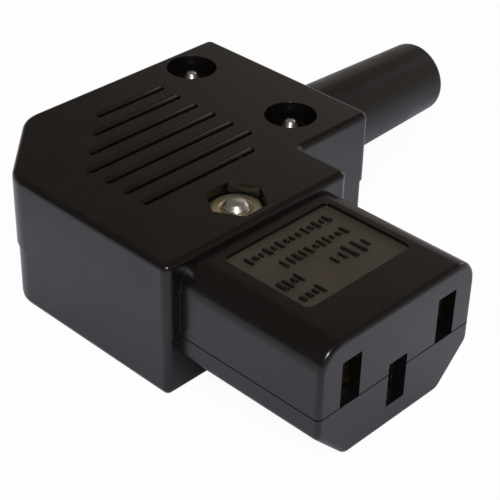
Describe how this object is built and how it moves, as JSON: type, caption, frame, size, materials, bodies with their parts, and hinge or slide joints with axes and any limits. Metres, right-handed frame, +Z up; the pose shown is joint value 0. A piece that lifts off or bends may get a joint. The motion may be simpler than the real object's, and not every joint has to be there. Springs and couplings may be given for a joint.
{
  "type": "c13 power connector",
  "caption": "Right-angle rewireable mains connector: keyed slotted head on a split moulded body, with a rubber cable boot leaving sideways.",
  "frame": {"origin": "under the middle of the whole part, on the flat underside of the lower shell", "axes": "+X the way the cable leaves, -Y the way the mating face looks, +Z up through the grooved side"},
  "size_m": [0.062, 0.0508, 0.0159],
  "materials": {
    "shell_plastic": "satin moulded thermoplastic, near black",
    "boot_rubber": "smooth moulded rubber",
    "contact_brass": "pressed and folded sheet",
    "plated_steel": "bright plated",
    "nut_brass": "bright, pale",
    "clamp_plastic": "moulded nylon"
  },
  "bodies": {
    "root": {"top_shell": "shell_plastic", "bottom_shell": "shell_plastic", "cable_boot": "boot_rubber", "live_contact": "contact_brass", "neutral_contact": "contact_brass", "earth_contact": "contact_brass", "live_clamp_plate": "plated_steel", "neutral_clamp_plate": "plated_steel", "earth_clamp_plate": "plated_steel", "live_terminal_screw": "plated_steel", "neutral_terminal_screw": "plated_steel", "earth_terminal_screw": "plated_steel", "cord_clamp": "clamp_plastic", "cord_clamp_screw_front": "plated_steel", "cord_clamp_screw_rear": "plated_steel", "closing_screw": "plated_steel", "closing_washer": "plated_steel", "closing_nut": "nut_brass", "side_screw_front": "plated_steel", "side_screw_rear": "plated_steel"}
  },
  "joints": []
}
